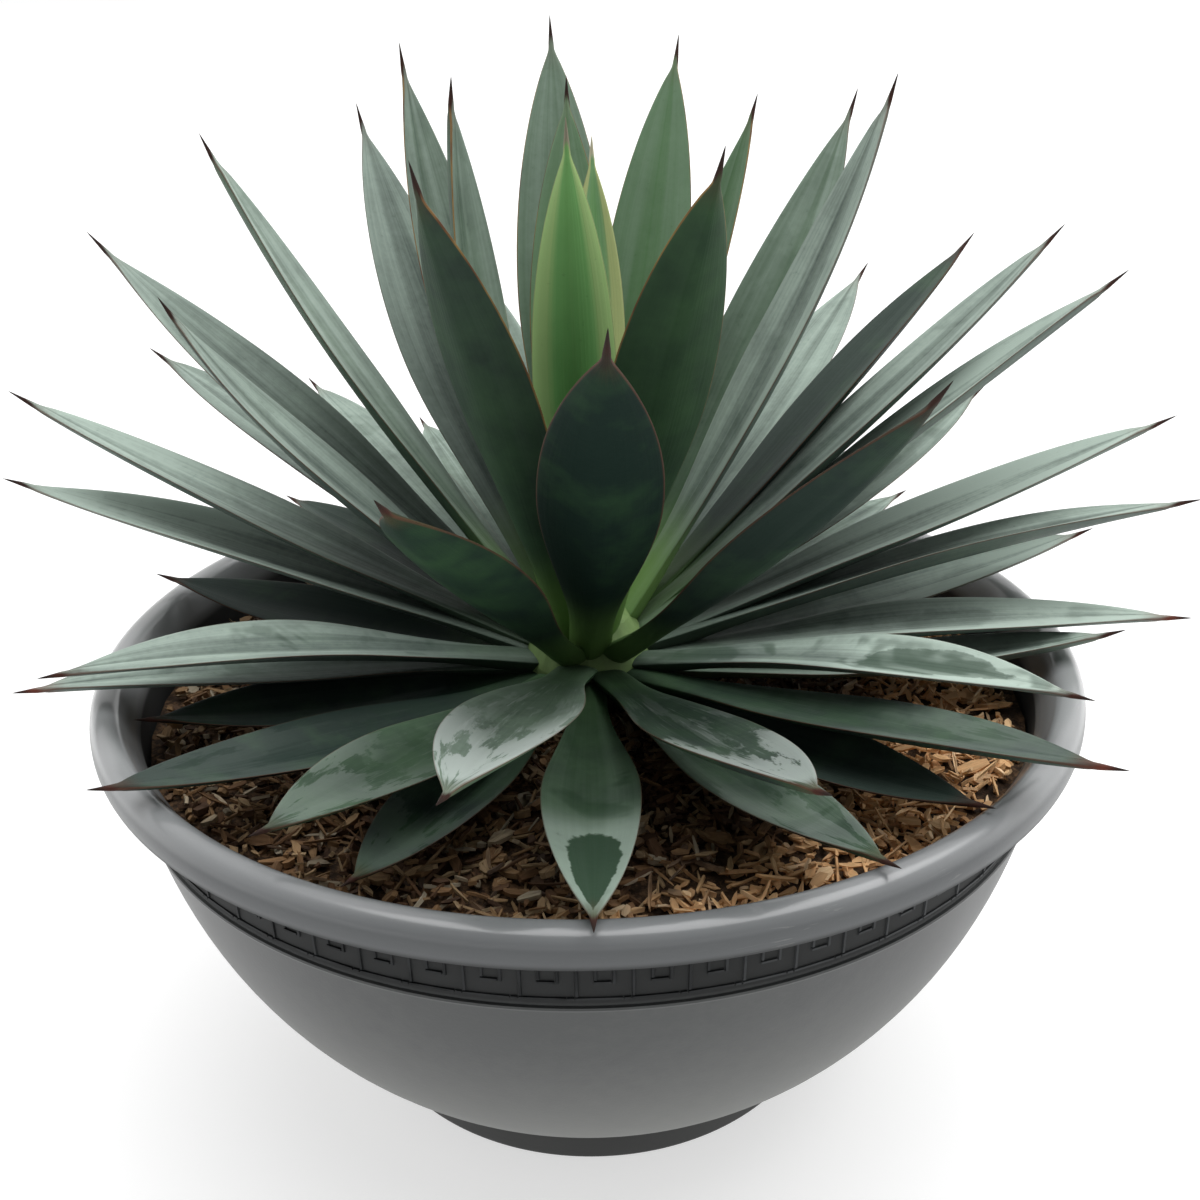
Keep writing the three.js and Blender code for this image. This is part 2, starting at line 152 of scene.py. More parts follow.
# How a leaf looks: waxy coat, fresh green, rubbed bare, silvered by scuffs, red at the spine; 0 is none. The
# waxy coat's amount is also painted light and shade: it is set low on leaves that stand in shade and above 1
# on leaves painted brighter.
PLAIN_LOOK = (0.8, 0.05, 0.15, 0.0, 0.2)
LOOKS = {
    1: (0.5, 0.25, 0.0, 0.0, 0.1),
    2: (0.3, 0.45, 0.0, 0.0, 0.1),
    3: (0.12, 1.0, 0.0, 0.0, 0.0),
    4: (0.3, 1.0, 0.0, 0.0, 0.0),
    5: (0.3, 0.45, 0.0, 0.0, 0.2),
    6: (0.09, 0.12, 0.0, 0.0, 0.1),
    7: (0.2, 0.3, 0.0, 0.0, 0.2),
    8: (0.6, 0.2, 0.1, 0.0, 0.2),
    9: (0.9, 0.0, 0.1, 0.0, 0.2),
    10: (0.85, 0.0, 0.1, 0.0, 0.2),
    11: (0.1, 0.0, 0.1, 0.0, 0.2),
    12: (0.8, 0.0, 0.1, 0.0, 0.2),
    13: (1.15, 0.0, 0.1, 0.0, 0.2),
    14: (0.12, 0.0, 0.0, 0.0, 0.1),
    16: (1.3, 0.0, 0.0, 0.0, 0.2),
    17: (0.95, 0.0, 0.1, 0.0, 0.2),
    18: (1.15, 0.0, 0.1, 0.0, 0.4),
    19: (1.1, 0.0, 0.2, 0.0, 0.9),
    21: (0.8, 0.0, 0.5, 0.0, 0.3),
    22: (0.12, 0.04, 0.3, 0.1, 0.9),
    23: (0.1, 0.05, 0.3, 0.7, 0.3),
    24: (0.14, 0.08, 0.5, 0.2, 0.2),
    25: (0.2, 0.15, 0.4, 0.0, 0.2),
    26: (0.42, 0.14, 0.2, 1.0, 0.1),
    27: (0.1, 0.1, 0.3, 0.25, 0.1),
    28: (0.05, 0.05, 0.3, 0.1, 0.2),
    29: (0.05, 0.0, 0.3, 0.05, 0.3),
    30: (0.75, 0.0, 0.2, 0.0, 0.9),
    31: (0.7, 0.0, 0.3, 0.0, 0.3),
    32: (0.02, 0.0, 0.2, 0.0, 0.2),
    33: (0.05, 0.0, 0.2, 0.0, 0.2),
    34: (1.3, 0.0, 0.1, 0.0, 0.1),
    35: (0.95, 0.0, 0.1, 0.0, 0.1),
    36: (0.15, 0.0, 0.1, 0.0, 0.2),
    37: (0.0, 0.05, 0.1, 0.0, 0.2),
    38: (0.75, 0.0, 0.1, 0.0, 0.1),
    39: (0.7, 0.0, 0.1, 0.0, 0.1),
    40: (0.7, 0.0, 0.1, 0.0, 0.1),
    41: (0.75, 0.1, 0.1, 0.0, 0.1),
    42: (0.75, 0.0, 0.1, 0.0, 0.1),
    43: (0.55, 0.1, 0.1, 0.0, 0.2),
    44: (0.5, 0.1, 0.1, 0.0, 0.2),
    45: (0.17, 0.06, 0.1, 0.0, 0.1),
    46: (0.0, 0.0, 0.1, 0.0, 0.1),
    47: (0.05, 0.0, 0.2, 0.0, 0.2),
    48: (0.05, 0.0, 0.2, 0.0, 0.2),
}

# Leaves with a gold margin; cream leaves and how strongly; blotched leaves, how strongly and where along
GOLD_MARGINS = (1, 2, 5, 6, 7, 43, 44, 45)
CREAM_LEAVES = {3: 0.4, 4: 1.0}
BLOTCHES = {25: (1.0, 0.79), 21: (0.6, 0.68)}

# How fresh a leaf's root is, by the leaf's rise
FRESH_RISES, FRESH_SHARES = [20, 50], [0.08, 1]

# Leaf colours, linear
TISSUE = (0.0095, 0.022, 0.017, 1)
YOUNG_GREEN = (0.18, 0.43, 0.13, 1)
BASE_GREEN = (0.17, 0.31, 0.08, 1)
BLOOM = (0.41, 0.5, 0.44, 1)
RUBBED = (0.03, 0.06, 0.036, 1)
CREAM = (0.62, 0.66, 0.3, 1)
SILVER = (0.52, 0.58, 0.55, 1)
MARGIN_GOLD = (0.3, 0.18, 0.06, 1)
MARGIN_RED = (0.13, 0.045, 0.025, 1)
SPINE_DARK = (0.028, 0.017, 0.014, 1)
SPINE_RED = (0.16, 0.045, 0.03, 1)
SPINE_CREAM = (0.6, 0.56, 0.4, 1)
PITS = (0.03, 0.05, 0.035, 1)

# Bowl colours, linear
CHARCOAL = (0.05, 0.0535, 0.0535, 1)
# Painted bounce light: the paler grey given to the lower walls
BOUNCE_GREY = (0.2, 0.205, 0.19, 1)
RIM_GREY = (0.1, 0.107, 0.112, 1)
# Painted highlight: the paler grey for the rim's crest
CREST_HIGHLIGHT = (0.24, 0.25, 0.255, 1)
# Painted light: the pale grey for the rim's left and right ends
RIM_SIDE_LIGHT = (0.36, 0.37, 0.37, 1)
# Painted shade: the near-black colour of the foot under the bowl's belly
FOOT_SHADE = (0.014, 0.015, 0.015, 1)
# Painted shade: the near-black colour of the band under the rim's overhang
BAND_SHADE = (0.009, 0.01, 0.01, 1)
SCUFF_PALE = (0.42, 0.42, 0.4, 1)
# The key's near-black colour is painted shade of the band's recess; its paler colour stands for wear and for
# painted light at the right
KEY_SHADE = (0.008, 0.009, 0.0095, 1)
KEY_WORN_AND_LIT = (0.05, 0.053, 0.055, 1)

# Mulch and stem colours, linear
BARK_RAMP = [
    (0.0, (0.08, 0.042, 0.022, 1)),
    (0.2, (0.28, 0.145, 0.068, 1)),
    (0.4, (0.52, 0.29, 0.125, 1)),
    (0.65, (0.74, 0.46, 0.22, 1)),
    (0.88, (0.88, 0.64, 0.36, 1)),
    (1.0, (0.97, 0.86, 0.64, 1)),
]
BARK_GRAIN = (0.05, 0.027, 0.015, 1)
BARK_AGED = (0.17, 0.16, 0.14, 1)
BARK_SHADE = (0.02, 0.013, 0.009, 1)
# The next two colours are painted light near the wall and painted shade towards the middle under the leaves
BARK_PAINTED_LIGHT = (0.98, 0.6, 0.3, 1)
BARK_PAINTED_SHADE = (0.045, 0.024, 0.014, 1)
CRUMB_DARK = (0.03, 0.018, 0.011, 1)
CRUMB_PALE = (0.2, 0.115, 0.06, 1)
STEM_GREEN = (0.12, 0.2, 0.06, 1)
STEM_PALE = (0.2, 0.3, 0.11, 1)
STEM_BROWN = (0.07, 0.05, 0.025, 1)

# Studio
FLOOR_REACH, FLOOR_SIDES, FLOOR_GAP = 20000, 96, 0.2
LAMP_STRENGTH, LAMP_SPREAD_DEGREES, LAMP_HEADING = 2.75, 64, (-0.16, -0.14, -1)


def smoothstep(low, high, value):
    """Rises from 0 at low to 1 at high with a level start and end: 3t^2 - 2t^3."""
    t = np.clip((value - low) / (high - low), 0, 1)
    return t * t * (3 - 2 * t)


# Meshes
def mesh_piece(name, points, corners, counts, smooth=True, fields=None):
    """A mesh object from points in mm, every face's corners in one row, and each face's corner count.
    fields holds named vector attributes, one row of three numbers for each point."""
    mesh = bpy.data.meshes.new(name)
    points = np.asarray(points, np.float32).reshape(-1, 3) * MM
    corners = np.asarray(corners, np.int32).ravel()
    counts = np.asarray(counts, np.int32).ravel()
    mesh.vertices.add(len(points))
    mesh.vertices.foreach_set("co", points.ravel())
    mesh.loops.add(len(corners))
    mesh.loops.foreach_set("vertex_index", corners)
    mesh.polygons.add(len(counts))
    starts = np.concatenate([[0], np.cumsum(counts)[:-1]]).astype(np.int32)
    mesh.polygons.foreach_set("loop_start", starts)
    mesh.polygons.foreach_set("use_smooth", np.full(len(counts), smooth))
    for field, values in (fields or {}).items():
        attribute = mesh.attributes.new(field, "FLOAT_VECTOR", "POINT")
        attribute.data.foreach_set("vector", np.asarray(values, np.float32).ravel())
    mesh.update(calc_edges=True)
    mesh.validate()
    piece = bpy.data.objects.new(name, mesh)
    bpy.context.scene.collection.objects.link(piece)
    return piece


def capped_rings(rows, columns):
    """Faces over rings of points with one pole point before the first ring and one after the last. The
    points go pole, rings in order, pole; each quad runs round its ring first and then to the next ring."""
    column = np.arange(columns)
    beside = (column + 1) % columns
    first = 1 + np.arange(rows - 1)[:, None] * columns
    second = first + columns
    quads = np.stack([first + column, first + beside, second + beside, second + column], -1)
    start = np.stack([np.zeros_like(column), 1 + beside, 1 + column], -1)
    last = 1 + (rows - 1) * columns
    end = np.stack([last + column, last + beside, np.full_like(column, last + columns)], -1)
    corners = np.concatenate([start.ravel(), quads.ravel(), end.ravel()])
    counts = np.concatenate([np.full(columns, 3), np.full((rows - 1) * columns, 4), np.full(columns, 3)])
    return corners, counts


def finish_piece(piece, material, replaced=()):
    """Gives the piece its material, lets it ride on the one body, and hides the parts it stands in for."""
    piece.data.materials.clear()
    piece.data.materials.append(material)
    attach(piece, "root")
    if replaced:
        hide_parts(*replaced)


# Leaves
def width_share(along):
    """Share of the full width: a narrow root, widest past the middle, (1 - t^2) to a power into the tip."""
    swell = smoothstep(SWELL_FROM, WIDEST_AT, along)
    taper = np.clip((along - WIDEST_AT) / (1 - WIDEST_AT), 0, 1)
    return (BASE_WIDTH_SHARE + (1 - BASE_WIDTH_SHARE) * swell) * (1 - taper**2) ** TIP_ROUNDING


def leaf_midline(leaf, shares):
    """Midline points and the ahead, side and face directions. The direction's rise grows with the share to
    the power 1.5 and its azimuth evenly; the midline is the running sum of direction times length."""
    azimuth, rise, curl, length, width, roll, sway = leaf
    fine = np.linspace(shares[0], 1, MIDLINE_STEPS)
    lift = np.radians(rise + curl * np.clip(fine, 0, None) ** CURL_POWER)
    turn = np.radians(azimuth + sway * fine)
    ahead = np.stack([np.cos(lift) * np.cos(turn), np.cos(lift) * np.sin(turn), np.sin(lift)], -1)
    steps = (ahead[1:] + ahead[:-1]) / 2 * np.diff(fine)[:, None] * length
    line = np.concatenate([np.zeros((1, 3)), np.cumsum(steps, 0)])
    root_turn, root_lift = math.radians(azimuth), math.radians(rise)
    out = ROOT_RADIUS_UPRIGHT + ROOT_RADIUS_SPREAD * math.cos(root_lift)
    up = ROOT_HEIGHT_LOW + ROOT_HEIGHT_SPREAD * math.sin(root_lift)
    root = np.array([out * math.cos(root_turn), out * math.sin(root_turn), up])
    at_root = np.array([np.interp(0, fine, line[:, k]) for k in range(3)])
    line = line - at_root + root
    level = np.stack([-np.sin(turn), np.cos(turn), np.zeros_like(turn)], -1)
    tilt = math.radians(roll)
    side = math.cos(tilt) * level + math.sin(tilt) * np.cross(ahead, level)

    def at_shares(values):
        return np.stack([np.interp(shares, fine, values[:, k]) for k in range(3)], -1)

    return at_shares(line), at_shares(ahead), at_shares(side), at_shares(np.cross(ahead, side))


def leaf_piece(number, leaf, skin):
    """One leaf as a closed surface of two parameters: the share of its length, and the angle round its
    section. The section's x is the angle's cosine; its thickness is a lens (1 - x^2) on a thin margin
    (1 - x^8)^0.5, both lifted by |x|^1.6 into a channel, and it turns into a round spine past the blade."""
    rise, length, width = leaf[1], leaf[3], leaf[4]
    draw = np.random.default_rng(LEAF_SEED + number)
    seed = draw.uniform(0, 1)
    shares = np.concatenate([
        np.linspace(-ROOT_DEPTH / length, BODY_END, BODY_ROWS),
        np.linspace(TAPER_START, TAPER_END, TAPER_ROWS),
        np.linspace(SPINE_START, SPINE_END, SPINE_ROWS),
    ])
    points, ahead, side, face = leaf_midline(leaf, shares)
    blade = np.clip(shares, 0, 1) / (1 - SPINE_SHARE)
    round_part = smoothstep(ROUND_FROM, ROUND_BY, shares)
    spine = np.interp(shares, SPINE_AT, SPINE_RADII)
    half = width / 2 * width_share(np.clip(blade, 0, 1))
    half = (half**3 + spine**3) ** (1 / 3)
    angle = 2 * np.pi * np.arange(BLADE_COLUMNS) / BLADE_COLUMNS
    x = np.cos(angle)
    upper = np.sign(np.round(np.sin(angle), 6))
    thick = np.interp(shares, [0, 1], [THICK_BASE, THICK_TIP])
    thick = thick + ROOT_SWELL * np.exp(-((np.clip(shares, 0, 1) / ROOT_SWELL_REACH) ** 2))
    lens = np.outer((thick - MARGIN_THICKNESS) / 2, 1 - x**2) + MARGIN_THICKNESS / 2 * np.sqrt(1 - x**8)
    lens = np.minimum(lens, THICKEST_SHARE * half[:, None])
    rod = np.outer(spine, np.sqrt(np.clip(1 - x**2, 0, 1)))
    above = (lens * (1 - round_part[:, None]) + rod * round_part[:, None]) * upper
    channel = CHANNEL * half[:, None] * np.abs(x) ** CHANNEL_POWER
    ripple_phase = draw.uniform(0, 2 * np.pi, 2)
    one_side = np.sin(RIPPLE_WAVES[0] * shares[:, None] + ripple_phase[0])
    other_side = np.sin(RIPPLE_WAVES[1] * shares[:, None] + ripple_phase[1])
    ripple = np.where(x > 0, one_side, other_side)
    channel = channel + RIPPLE * ripple * x**2 * smoothstep(RIPPLE_FROM, RIPPLE_BY, shares)[:, None]
    above = above + channel * (1 - round_part[:, None])
    sideways = side[:, None] * (half[:, None] * x)[..., None]
    grid = points[:, None] + sideways + face[:, None] * above[..., None]
    root_pole = points[0]
    tip_pole = leaf_midline(leaf, np.array([-ROOT_DEPTH / length, 1.0]))[0][1]
    everything = np.concatenate([root_pole[None], grid.reshape(-1, 3), tip_pole[None]])
    corners, counts = capped_rings(*grid.shape[:2])
    rows = len(shares)
    along = np.repeat(shares, BLADE_COLUMNS)
    across = np.tile(x, rows)
    side_up = np.tile(upper, rows)
    place = np.stack([across, along, side_up], -1)
    place = np.concatenate([[[0, shares[0], 0]], place, [[0, 1, 0]]])
    # The first look number is the waxy coat's amount and also the leaf's painted light and shade
    bloom_light_and_shade, green, rubbed, silver, red = LOOKS.get(number, PLAIN_LOOK)
    fresh = np.interp(rise, FRESH_RISES, FRESH_SHARES)
    ones = np.ones((len(place), 1))
    piece = mesh_piece(f"blade_{number:02d}", everything, corners, counts, fields={
        "blade": place,
        "habit": ones * [[bloom_light_and_shade, green, seed]],
        "marks": ones * [[rubbed, silver, red]],
        "growth": ones * [[fresh, float(number in GOLD_MARGINS), CREAM_LEAVES.get(number, 0.0)]],
        "spots": ones * [[*BLOTCHES.get(number, (0.0, 0.5)), 0]],
    })
    finish_piece(piece, skin, [f"leaf_{number:02d}"])


# Bowl
def curve(start, control, end, steps=BOWL_STEPS):
    """Points of a quadratic curve after its start: (1-t)^2 start + 2t(1-t) control + t^2 end."""
    t = np.linspace(0, 1, steps + 1)[1:, None]
    return (1 - t) ** 2 * np.array(start) + 2 * t * (1 - t) * np.array(control) + t**2 * np.array(end)


def bowl_profile():
    """Radius and height round the bowl's wall, from the underside's middle over the rim to the floor's."""
    inside = BAND_FOOT_RADIUS - WALL
    return np.concatenate([
        [(MIDDLE_RADIUS, 0), (FOOT_RADIUS - FOOT_BEVEL, 0)],
        [(FOOT_RADIUS - 0.2 * FOOT_BEVEL, 0.4 * FOOT_BEVEL)],
        [(FOOT_RADIUS, FOOT_BEVEL), (FOOT_RADIUS, FOOT_HEIGHT)],
        curve((FOOT_RADIUS, FOOT_HEIGHT), (BELLY_RADIUS, BELLY_HEIGHT),
              (BAND_FOOT_RADIUS, BAND_FOOT_HEIGHT - 2 * RIDGE)),
        [(BAND_FOOT_RADIUS + 0.7 * RIDGE, BAND_FOOT_HEIGHT - 1.7 * RIDGE)],
        [(BAND_FOOT_RADIUS + RIDGE, BAND_FOOT_HEIGHT - RIDGE)],
        [(BAND_FOOT_RADIUS + 0.8 * RIDGE, BAND_FOOT_HEIGHT - 0.3 * RIDGE)],
        [(BAND_FOOT_RADIUS, BAND_FOOT_HEIGHT), (BAND_TOP_RADIUS, RIM_UNDERSIDE)],
        [(BAND_TOP_RADIUS + UNDERCUT, RIM_UNDERSIDE), (RIM_RADIUS - RIM_ROUNDING / 2, RIM_UNDERSIDE)],
        curve((RIM_RADIUS - RIM_ROUNDING / 2, RIM_UNDERSIDE), (RIM_RADIUS, RIM_UNDERSIDE),
              (RIM_RADIUS, RIM_UNDERSIDE + RIM_ROUNDING), LIP_STEPS),
        curve((RIM_RADIUS, RIM_UNDERSIDE + RIM_ROUNDING), (RIM_RADIUS, RIM_HEIGHT),
              (RIM_CREST_RADIUS, RIM_HEIGHT), SHOULDER_STEPS),
        curve((RIM_CREST_RADIUS, RIM_HEIGHT), (MOUTH_RADIUS + MOUTH_ROUNDING, RIM_HEIGHT),
              (MOUTH_RADIUS, RIM_HEIGHT - MOUTH_BEVEL), MOUTH_STEPS),
        [(BAND_TOP_RADIUS - WALL, RIM_UNDERSIDE), (inside, BAND_FOOT_HEIGHT)],
        curve((inside, BAND_FOOT_HEIGHT), (BELLY_RADIUS - WALL, BELLY_HEIGHT),
              (FOOT_RADIUS - WALL / 2, FOOT_HEIGHT + FLOOR_RISE)),
        [(FOOT_RADIUS - 2 * WALL, FLOOR), (MIDDLE_RADIUS, FLOOR)],
    ])


def turned(name, profile, sides):
    """A profile carried once round the Z axis, closed by a pole at each end of the profile."""
    theta = 2 * np.pi * np.arange(sides) / sides
    radius, height = profile[:, :1], profile[:, 1:]
    level = np.broadcast_to(height, (len(profile), sides))
    grid = np.stack([radius * np.cos(theta), radius * np.sin(theta), level], -1)
    poles = np.array([[0, 0, profile[0, 1]], [0, 0, profile[-1, 1]]])
    corners, counts = capped_rings(*grid.shape[:2])
    return mesh_piece(name, np.concatenate([poles[:1], grid.reshape(-1, 3), poles[1:]]), corners, counts)


def drilled(piece):
    """The same piece with its round drain holes cut through the floor."""
    profile = np.array([(DRAIN_RADIUS, DRILL_FOOT), (DRAIN_RADIUS, DRILL_TOP)])
    drills = []
    for hole in range(DRAIN_HOLES):
        turn = 2 * math.pi * hole / DRAIN_HOLES
        drill = turned(f"drill_{hole}", profile, DRILL_SIDES)
        shift = (DRAIN_CIRCLE * math.cos(turn) * MM, DRAIN_CIRCLE * math.sin(turn) * MM, 0)
        drill.data.transform(Matrix.Translation(shift))
        drills.append(drill)
        cut = piece.modifiers.new(f"hole_{hole}", "BOOLEAN")
        cut.operation = "DIFFERENCE"
        cut.solver = "EXACT"
        cut.object = drill
    bpy.context.view_layer.update()
    evaluated = piece.evaluated_get(bpy.context.evaluated_depsgraph_get())
    mesh = bpy.data.meshes.new_from_object(evaluated)
    piece.modifiers.clear()
    piece.data = mesh
    for drill in drills:
        bpy.data.objects.remove(drill)
    return piece


def key_band():
    """The key pattern as closed bars, each a rectangle of turn and height wrapped round the band; a bar's
    face is narrower than its foot, so its edges slope."""
    pitch = 2 * math.pi * BAND_TOP_RADIUS / KEY_UNITS
    tall = KEY_TOP - KEY_FOOT
    line = KEY_LINE
    left, inner, right = KEY_LEFT * pitch, KEY_INNER * pitch, KEY_RIGHT * pitch
    low, middle = KEY_LOW * tall, KEY_MIDDLE * tall
    bars = [
        (left, left + line, line, tall),
        (left + line, right, tall - line, tall),
        (right, right + line, low, tall),
        (inner, right, low, low + line),
        (inner, inner + line, low + line, middle),
        (0, left, 0, line),
        (left, pitch, 0, line),
    ]
    bars = np.array(bars, float)
    unit = np.arange(KEY_UNITS)[:, None, None]
    spans = np.broadcast_to(bars, (KEY_UNITS, *bars.shape)).copy()
    spans[..., 0:2] += unit * pitch
    spans = spans.reshape(-1, 4)
    corners_u = np.stack([spans[:, 0], spans[:, 1], spans[:, 1], spans[:, 0]], -1)
    corners_v = np.stack([spans[:, 2], spans[:, 2], spans[:, 3], spans[:, 3]], -1)
    inward_u = np.array([KEY_SLOPE, -KEY_SLOPE, -KEY_SLOPE, KEY_SLOPE])
    inward_v = np.array([KEY_SLOPE, KEY_SLOPE, -KEY_SLOPE, -KEY_SLOPE])
    u = np.stack([corners_u, corners_u + inward_u], 1)
    v = np.stack([corners_v, corners_v + inward_v], 1) + KEY_FOOT
    lean = (BAND_TOP_RADIUS - BAND_FOOT_RADIUS) / (RIM_UNDERSIDE - BAND_FOOT_HEIGHT)
    radius = BAND_FOOT_RADIUS + (v - BAND_FOOT_HEIGHT) * lean
    radius = radius + np.array([-KEY_SINK, KEY_RELIEF])[None, :, None]
    theta = u / BAND_TOP_RADIUS
    points = np.stack([radius * np.cos(theta), radius * np.sin(theta), v], -1).reshape(-1, 3)
    box = np.array([[4, 5, 6, 7], [3, 2, 1, 0], [0, 1, 5, 4], [1, 2, 6, 5], [2, 3, 7, 6], [3, 0, 4, 7]])
    corners = (np.arange(len(spans))[:, None, None] * 8 + box).ravel()
    return mesh_piece("band_key", points, corners, np.full(len(spans) * 6, 4), smooth=False)


# Mulch
def soil_height(radius):
    """Height of the mulch bed: level in the middle, then a straight slope down to the wall."""
    return np.interp(radius, [SOIL_CROWN_RADIUS, SOIL_RADIUS], [SOIL_CROWN_HEIGHT, SOIL_EDGE_HEIGHT])


def chips(name, count, seed, lengths, widths, thicknesses, steep, heap):
    """Bark chips: each a flat six-sided prism with its own outline, dropped at random on the bed, headed any
    way and tipped by up to about steep degrees. Their points are worked out together as one array."""
    draw = np.random.default_rng(seed)
    length = draw.uniform(*lengths, count)
    width = np.minimum(draw.uniform(*widths, count), CHIP_WIDEST * length)
    thick = draw.uniform(*thicknesses, count)
    reach = SOIL_RADIUS - WALL_CLEARANCE - length / 2
    radius = np.sqrt(draw.uniform(BARE_MIDDLE, 1, count)) * reach
    spot = draw.uniform(0, 2 * np.pi, count)
    heading = draw.uniform(0, 2 * np.pi, count)
    tip = np.radians(draw.normal(0, steep, count))
    bank = np.radians(draw.normal(0, steep * CHIP_BANK, count))
    ahead = np.stack([np.cos(heading) * np.cos(tip), np.sin(heading) * np.cos(tip), np.sin(tip)], -1)
    level = np.stack([-np.sin(heading), np.cos(heading), np.zeros(count)], -1)
    upward = np.cross(ahead, level)
    side = np.cos(bank)[:, None] * level + np.sin(bank)[:, None] * upward
    upward = np.cross(ahead, side)
    turn = np.radians(np.arange(6) * 60 + 30) + draw.uniform(-CHIP_JITTER, CHIP_JITTER, (count, 6))
    spread = draw.uniform(*CHIP_SPREAD, (count, 6))
    x = np.cos(turn) * spread * length[:, None] / 2
    y = np.sin(turn) * spread * width[:, None] / 2
    bow = draw.uniform(-CHIP_BOW, CHIP_BOW, count)[:, None] * x**2 / length[:, None] * 2
    z = np.stack([bow + thick[:, None] / 2, bow - thick[:, None] / 2], 1)
    x, y = np.stack([x, x * CHIP_FOOT_LENGTH], 1), np.stack([y, y * CHIP_FOOT_WIDTH], 1)
    height = soil_height(radius) + thick / 2 + draw.uniform(0, 1, count) ** HEAP_POWER * heap
    centre = np.stack([radius * np.cos(spot), radius * np.sin(spot), height], -1)
    points = centre[:, None, None] + x[..., None] * ahead[:, None, None] + y[..., None] * side[:, None, None]
    points = points + z[..., None] * upward[:, None, None]
    base = np.arange(count)[:, None] * 12
    ring = np.arange(6)
    after = (ring + 1) % 6
    top = base + ring
    bottom = base + 6 + ring[::-1]
    sides = np.stack([ring + 6, after + 6, after, ring], -1).reshape(1, 24) + base
    corners = np.concatenate([top, bottom, sides], 1).ravel()
    counts = np.tile([6, 6, 4, 4, 4, 4, 4, 4], count)
    tint = np.repeat(draw.uniform(0, 1, (count, 3)), 12, 0)
    grain = np.stack([x, y, z], -1).reshape(-1, 3) + tint * GRAIN_SPACING
    fields = {"grain": grain, "tint": tint}
    return mesh_piece(name, points.reshape(-1, 3), corners, counts, smooth=False, fields=fields)


# Finishes
class Tap:
    """A number that varies over a surface. Arithmetic on it adds the Math nodes that work it out."""

    def __init__(self, bench, socket):
        self.bench = bench
        self.socket = socket

    def __add__(self, other):
        return self.bench.sum_of("ADD", self, other)

    def __sub__(self, other):
        return self.bench.sum_of("SUBTRACT", self, other)

    def __rsub__(self, other):
        return self.bench.sum_of("SUBTRACT", other, self)

    def __mul__(self, other):
        return self.bench.sum_of("MULTIPLY", self, other)

    __radd__ = __add__
    __rmul__ = __mul__


class Bench:
    """Adds nodes to one node tree."""

    def __init__(self, tree):
        self.tree = tree
        tree.nodes.clear()

    def node(self, kind, settings=None, inputs=None):
        """One node: its settings first, a ramp's stops among them, then its sockets' values or links."""
        made = self.tree.nodes.new(kind)
        for key, value in (settings or {}).items():
            if key == "stops":
                ramp = made.color_ramp
                while len(ramp.elements) < len(value):
                    ramp.elements.new(1)
                for element, (position, colour) in zip(ramp.elements, value):
                    element.position = position
                    element.color = colour
            else:
                setattr(made, key, value)
        for key, value in (inputs or {}).items():
            if isinstance(value, Tap):
                self.tree.links.new(value.socket, made.inputs[key])
            else:
                made.inputs[key].default_value = value
        return made

    def tap(self, made, output=0):
        return Tap(self, made.outputs[output])

    def sum_of(self, operation, first, second=0.0, clamp=False):
        settings = {"operation": operation, "use_clamp": clamp}
        return self.tap(self.node("ShaderNodeMath", settings, {0: first, 1: second}))

    def size_of(self, value):
        return self.sum_of("ABSOLUTE", value)

    def clamped(self, value):
        return self.sum_of("ADD", value, 0.0, True)

    def smooth(self, value, low, high):
        """0 below low and 1 above high, smooth between; low may be the higher one."""
        settings = {"interpolation_type": "SMOOTHSTEP", "clamp": True}
        flip = low > high
        ends = {1: min(low, high), 2: max(low, high), 3: 1.0 if flip else 0.0, 4: 0.0 if flip else 1.0}
        return self.tap(self.node("ShaderNodeMapRange", settings, {0: value, **ends}))

    def parts(self, vector):
        made = self.node("ShaderNodeSeparateXYZ", None, {0: vector})
        return [self.tap(made, k) for k in range(3)]

    def vector(self, x, y, z):
        return self.tap(self.node("ShaderNodeCombineXYZ", None, {0: x, 1: y, 2: z}))

    def stretched(self, vector, scale):
        return self.tap(self.node("ShaderNodeVectorMath", {"operation": "MULTIPLY"}, {0: vector, 1: scale}))

    def moved(self, vector, offset):
        return self.tap(self.node("ShaderNodeVectorMath", {"operation": "ADD"}, {0: vector, 1: offset}))

    def place(self):
        return self.tap(self.node("ShaderNodeTexCoord"), "Object")

    def field(self, name):
        return self.tap(self.node("ShaderNodeAttribute", {"attribute_name": name}), "Vector")

    def noise(self, vector, scale, detail=3.0, roughness=0.5, distortion=0.0):
        inputs = {"Vector": vector, "Scale": scale, "Detail": detail, "Roughness": roughness}
        return self.tap(self.node("ShaderNodeTexNoise", None, {**inputs, "Distortion": distortion}), 0)

    def mixed(self, share, first, second):
        settings = {"data_type": "RGBA", "blend_type": "MIX", "clamp_factor": True}
        return self.tap(self.node("ShaderNodeMix", settings, {0: share, 6: first, 7: second}), 2)

    def ramp(self, value, stops):
        return self.tap(self.node("ShaderNodeValToRGB", {"stops": stops}, {0: value}))


class Finish(Bench):
    """A surface material on the principled shader; constants are set on the shader's own sockets."""

    def __init__(self, name, constants=None):
        self.material = bpy.data.materials.new(name)
        self.material.use_nodes = True
        super().__init__(self.material.node_tree)
        self.surface = self.node("ShaderNodeBsdfPrincipled", None, constants)
        output = self.node("ShaderNodeOutputMaterial")
        self.tree.links.new(self.surface.outputs[0], output.inputs["Surface"])

    def feed(self, socket, value):
        self.tree.links.new(value.socket, self.surface.inputs[socket])

    def relief(self, height, strength, distance):
        inputs = {"Strength": strength, "Distance": distance, "Height": height}
        bump = self.node("ShaderNodeBump", None, inputs)
        self.tree.links.new(bump.outputs[0], self.surface.inputs["Normal"])


